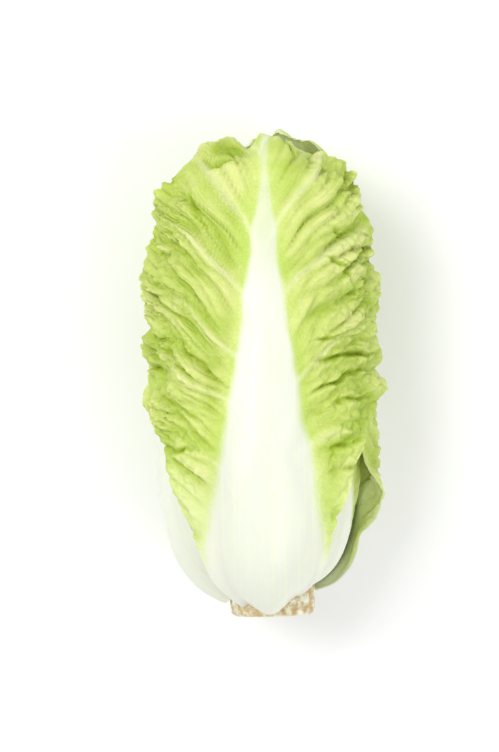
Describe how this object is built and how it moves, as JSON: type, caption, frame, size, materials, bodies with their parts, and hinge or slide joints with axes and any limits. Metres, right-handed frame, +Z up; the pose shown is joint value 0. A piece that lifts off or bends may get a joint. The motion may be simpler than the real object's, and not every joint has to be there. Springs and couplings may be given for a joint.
{
  "type": "napa cabbage",
  "caption": "Whole napa cabbage head lying on its back, with wide white-ribbed wrapper leaves, pleated and frilled green blades, a tight heart and a cut stem.",
  "frame": {"origin": "centre of the bounding box's bottom face, on the surface that the head lies on", "axes": "+Y runs from the cut stem to the leaf tips, +Z is up out of the widest wrapper leaf, and +X is to the right seen from above with the tips at the top"},
  "size_m": [0.1306, 0.2497, 0.1056],
  "materials": {
    "outer_leaf": "waxy satin leaf, white at the rib and green towards the frilled margin",
    "inner_leaf": "waxy satin leaf, paler and yellower than the outer leaves",
    "heart": "moist satin, pale yellow folded leaves",
    "stem": "matt moist cut face, cream white"
  },
  "bodies": {
    "root": {"stem": "stem", "heart": "heart", "leaf_01": "outer_leaf", "leaf_02": "outer_leaf", "leaf_03": "outer_leaf", "leaf_04": "outer_leaf", "leaf_05": "outer_leaf", "leaf_06": "outer_leaf", "leaf_07": "inner_leaf", "leaf_08": "inner_leaf", "leaf_09": "inner_leaf", "leaf_10": "inner_leaf", "leaf_11": "inner_leaf"}
  },
  "joints": []
}
